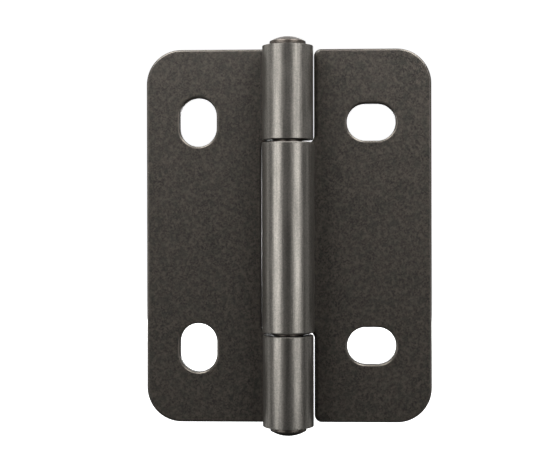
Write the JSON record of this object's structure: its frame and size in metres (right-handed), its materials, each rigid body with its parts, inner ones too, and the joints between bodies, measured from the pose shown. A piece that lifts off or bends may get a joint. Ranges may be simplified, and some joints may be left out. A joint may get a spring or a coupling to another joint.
{
  "type": "door hinge",
  "caption": "Open-flat steel butt hinge with rolled knuckles, slotted leaves and a riveted pin with low domed heads.",
  "frame": {"origin": "on the pin's axis, halfway along the pin, which is the centre of the bounding box with the leaves laid open flat", "axes": "+Z along the pin, +Y out of the backs of the leaves into what they are screwed to, +X from the pin towards the door leaf; the barrel stands out towards -Y"},
  "size_m": [0.05, 0.009, 0.0692],
  "materials": {
    "frame_leaf": "blackened steel, matte on the leaf, burnished on the knuckles",
    "door_leaf": "blackened steel, matte on the leaf, burnished on the knuckle",
    "hinge_pin": "dark burnished steel, semi-gloss"
  },
  "bodies": {
    "frame_side": {"frame_leaf": "frame_leaf", "hinge_pin": "hinge_pin"},
    "door_side": {"door_leaf": "door_leaf"}
  },
  "joints": [
    {"name": "leaf_swing", "type": "hinge", "parent": "frame_side", "child": "door_side", "pos_m": [0, 0, 0], "axis": [0, 0, -1], "range_deg": [-80, 180]}
  ]
}
